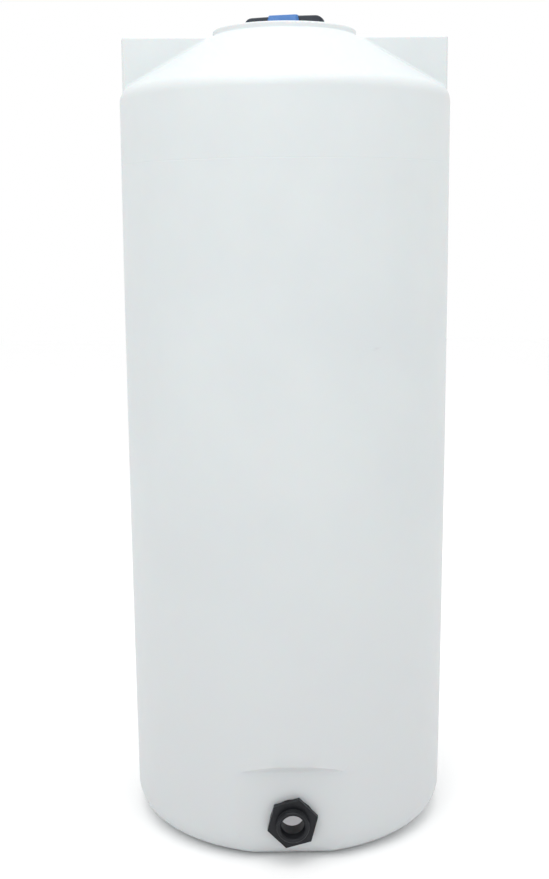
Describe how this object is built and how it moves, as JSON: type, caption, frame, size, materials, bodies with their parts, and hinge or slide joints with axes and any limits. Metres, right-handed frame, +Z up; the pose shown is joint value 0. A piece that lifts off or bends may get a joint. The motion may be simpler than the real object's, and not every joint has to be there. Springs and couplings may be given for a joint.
{
  "type": "water storage tank",
  "caption": "Tall upright plastic water tank with a conical top, two handling wings, a screw lid with a grip bar and a flanged outlet low on a flat front pad.",
  "frame": {"origin": "centre of the base, on the ground", "axes": "+Z up along the tank's axis; the outlet faces -Y; the handling wings run along X"},
  "size_m": [0.66, 0.6684, 1.6414],
  "materials": {
    "tank_plastic": "satin waxy, natural milky white",
    "black_plastic": "moulded satin black",
    "blue_plastic": "moulded semi-gloss blue",
    "rubber": "matt black",
    "steel": "bright",
    "mesh_steel": "woven wire"
  },
  "bodies": {
    "tank": {"tank_shell": "tank_plastic", "neck_ring": "black_plastic", "neck_ring_gasket": "rubber", "neck_ring_screws": "steel", "outlet_body": "black_plastic", "outlet_inner_gasket": "rubber", "outlet_outer_gasket": "rubber", "outlet_washer": "black_plastic", "outlet_nut": "black_plastic"},
    "lid_seal": {"lid_gasket": "rubber"},
    "lid": {"lid_body": "black_plastic", "breather_cap": "blue_plastic", "vent_valve": "rubber", "breather_screen": "mesh_steel", "breather_screen_ring": "black_plastic"}
  },
  "joints": [
    {"name": "lid_lift", "type": "slide", "parent": "tank", "child": "lid_seal", "axis": [0, 0, 1], "range_m": [0, 0.0272]},
    {"name": "lid_turn", "type": "hinge", "parent": "lid_seal", "child": "lid", "pos_m": [0, 0, 1.61], "axis": [0, 0, 1], "range_deg": [0, 540]}
  ],
  "couplings": [
    {"joint": "lid_lift", "follows": "lid_turn", "m_per_rad": 0.0028648}
  ]
}
